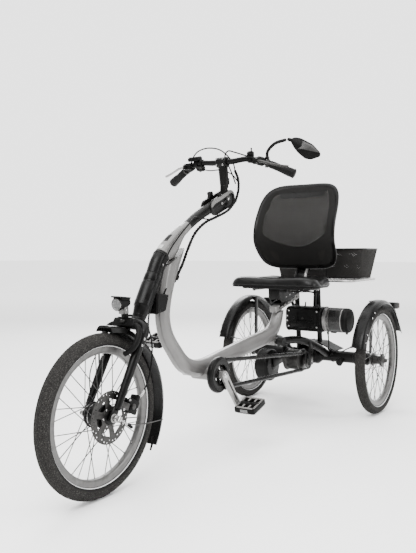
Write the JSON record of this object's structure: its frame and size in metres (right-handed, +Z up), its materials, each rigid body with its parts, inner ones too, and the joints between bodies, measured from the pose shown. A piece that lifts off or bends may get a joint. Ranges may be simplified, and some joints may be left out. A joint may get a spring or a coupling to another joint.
{
  "type": "adult tricycle",
  "caption": "Low step-through pedal tricycle with raked front wheel, swept handlebar, chair seat with mesh back, battery, rear rack and open basket.",
  "frame": {"origin": "middle of the footprint, on the ground", "axes": "+X to the rider's left, +Y backwards (the rider faces -Y), +Z up"},
  "size_m": [0.77, 2.051, 1.165],
  "materials": {
    "silver_paint": "satin silver-grey paint",
    "black_paint": "satin black paint",
    "black_plastic": "fine matt grain",
    "tyre_rubber": "matt charcoal rubber",
    "grip_rubber": "matt rubber",
    "bright_metal": "bright brushed metal",
    "dark_steel": "dark steel",
    "can_grey": "satin grey metal",
    "clear_lens": "clear fluted lens",
    "red_lens": "dark red lens",
    "seat_vinyl": "soft dark vinyl",
    "mesh_fabric": "open dark mesh"
  },
  "bodies": {
    "frame": {"main_frame": "silver_paint", "head_tube": "black_paint", "junction_box": "black_plastic", "cable_bundle": "black_plastic", "chain_guard": "black_plastic", "chain": "dark_steel", "drive_motor": "black_paint", "rear_frame": "black_paint", "rear_cover": "black_plastic", "rear_mudguard_left": "black_plastic", "rear_mudguard_right": "black_plastic", "tail_light_left": "red_lens", "tail_light_right": "red_lens", "battery_dock": "black_plastic", "rear_cable": "black_plastic", "rack": "bright_metal", "basket": "mesh_fabric", "seat_rail": "bright_metal"},
    "steering": {"fork": "black_paint", "front_axle": "bright_metal", "front_mudguard": "black_plastic", "wheel_lock": "black_plastic", "headlight": "black_plastic", "headlight_lens": "clear_lens", "front_brake_caliper": "black_plastic", "stem_sleeve": "black_paint", "stem_elbow": "silver_paint", "stem_arm": "black_paint", "front_brake_hose": "black_plastic"},
    "post": {"handlebar_post": "black_paint", "handlebar": "black_paint", "grip_left": "grip_rubber", "grip_right": "grip_rubber", "hand_controls_left": "black_plastic", "hand_controls_right": "black_plastic"},
    "front_wheel_body": {"front_tyre": "tyre_rubber", "front_wheel": "bright_metal", "front_brake_rotor": "dark_steel"},
    "rear_wheel_left_body": {"rear_tyre_left": "tyre_rubber", "rear_wheel_left": "bright_metal"},
    "rear_wheel_right_body": {"rear_tyre_right": "tyre_rubber", "rear_wheel_right": "bright_metal"},
    "cranks": {"crank_with_chainring": "bright_metal", "crank_arm_right": "bright_metal"},
    "pedal_left_body": {"pedal_left": "bright_metal"},
    "pedal_right_body": {"pedal_right": "bright_metal"},
    "gear_hub_body": {"gear_hub": "dark_steel"},
    "brake_lever_left_body": {"brake_lever_left": "bright_metal"},
    "brake_lever_right_body": {"brake_lever_right": "bright_metal"},
    "shift_lever_body": {"shift_lever": "black_plastic"},
    "mirror_arm_body": {"mirror_arm": "black_paint"},
    "mirror_head_body": {"mirror_head": "black_plastic"},
    "quick_release_body": {"quick_release_lever": "bright_metal"},
    "seat": {"seat_carriage": "black_paint", "seat_cushion": "seat_vinyl"},
    "backrest": {"back_bracket": "black_paint", "back_frame": "black_plastic", "back_mesh": "mesh_fabric"},
    "seat_lever_body": {"seat_lever": "dark_steel"},
    "battery_body": {"battery": "can_grey"}
  },
  "joints": [
    {"name": "steer", "type": "hinge", "parent": "frame", "child": "steering", "pos_m": [0, -0.59254, 0.524], "axis": [0, 0.4833, 0.8755], "range_deg": [-45, 45], "deforming": ["front_brake_hose", "cable_bundle"]},
    {"name": "stem_tilt", "type": "hinge", "parent": "steering", "child": "post", "pos_m": [0, -0.07454, 0.95], "axis": [1, 0, 0], "range_deg": [-15, 25]},
    {"name": "front_wheel_spin", "type": "hinge", "parent": "steering", "child": "front_wheel_body", "pos_m": [0, -0.77454, 0.25091], "axis": [1, 0, 0], "continuous": true},
    {"name": "rear_wheel_left_spin", "type": "hinge", "parent": "frame", "child": "rear_wheel_left_body", "pos_m": [0.34, 0.72546, 0.24843], "axis": [1, 0, 0], "continuous": true},
    {"name": "rear_wheel_right_spin", "type": "hinge", "parent": "frame", "child": "rear_wheel_right_body", "pos_m": [-0.34, 0.72546, 0.24843], "axis": [1, 0, 0], "continuous": true},
    {"name": "crank_spin", "type": "hinge", "parent": "frame", "child": "cranks", "pos_m": [0, -0.21954, 0.297], "axis": [1, 0, 0], "continuous": true},
    {"name": "pedal_left_spin", "type": "hinge", "parent": "cranks", "child": "pedal_left_body", "pos_m": [0.148, -0.12412, 0.17486], "axis": [1, 0, 0], "continuous": true},
    {"name": "pedal_right_spin", "type": "hinge", "parent": "cranks", "child": "pedal_right_body", "pos_m": [-0.134, -0.31497, 0.41914], "axis": [1, 0, 0], "continuous": true},
    {"name": "gear_hub_spin", "type": "hinge", "parent": "frame", "child": "gear_hub_body", "pos_m": [0, 0.55046, 0.245], "axis": [1, 0, 0], "continuous": true},
    {"name": "brake_lever_left_pull", "type": "hinge", "parent": "post", "child": "brake_lever_left_body", "pos_m": [0.165, -0.10505, 1.08213], "axis": [0, 0, 1], "range_deg": [0, 10], "stiffness_Nm_per_rad": 2, "springref_deg": -14.32},
    {"name": "brake_lever_right_pull", "type": "hinge", "parent": "post", "child": "brake_lever_right_body", "pos_m": [-0.165, -0.10505, 1.08213], "axis": [0, 0, -1], "range_deg": [0, 10], "stiffness_Nm_per_rad": 2, "springref_deg": -14.32},
    {"name": "shift_lever_push", "type": "hinge", "parent": "post", "child": "shift_lever_body", "pos_m": [-0.11, -0.07694, 1.0754], "axis": [0, 0, -1], "range_deg": [0, 20], "stiffness_Nm_per_rad": 0.4, "springref_deg": -17.19},
    {"name": "mirror_swivel", "type": "hinge", "parent": "post", "child": "mirror_arm_body", "pos_m": [0.1834, -0.05991, 1.07665], "axis": [0.8755, 0.3385, -0.3448], "range_deg": [-25, 25]},
    {"name": "mirror_tilt", "type": "hinge", "parent": "mirror_arm_body", "child": "mirror_head_body", "pos_m": [0.268, -0.05254, 1.158], "axis": [0, 0, 1], "range_deg": [-20, 20]},
    {"name": "quick_release_swing", "type": "hinge", "parent": "steering", "child": "quick_release_body", "pos_m": [0.081, -0.77454, 0.25091], "axis": [0, -0.585, -0.811], "range_deg": [0, 170]},
    {"name": "seat_slide", "type": "slide", "parent": "frame", "child": "seat", "axis": [0, 0.9744, 0.225], "range_m": [-0.08, 0]},
    {"name": "back_recline", "type": "hinge", "parent": "seat", "child": "backrest", "pos_m": [0, 0.60946, 0.602], "axis": [-1, 0, 0], "range_deg": [-5, 10]},
    {"name": "seat_lever_pull", "type": "hinge", "parent": "seat", "child": "seat_lever_body", "pos_m": [0.04, 0.42146, 0.575], "axis": [0, 0, 1], "range_deg": [0, 25], "stiffness_Nm_per_rad": 1, "springref_deg": -11.46},
    {"name": "battery_slide", "type": "slide", "parent": "frame", "child": "battery_body", "axis": [1, 0, 0], "range_m": [0, 0.035]}
  ],
  "couplings": [
    {"joint": "gear_hub_spin", "follows": "crank_spin", "ratio": 1.4444}
  ]
}
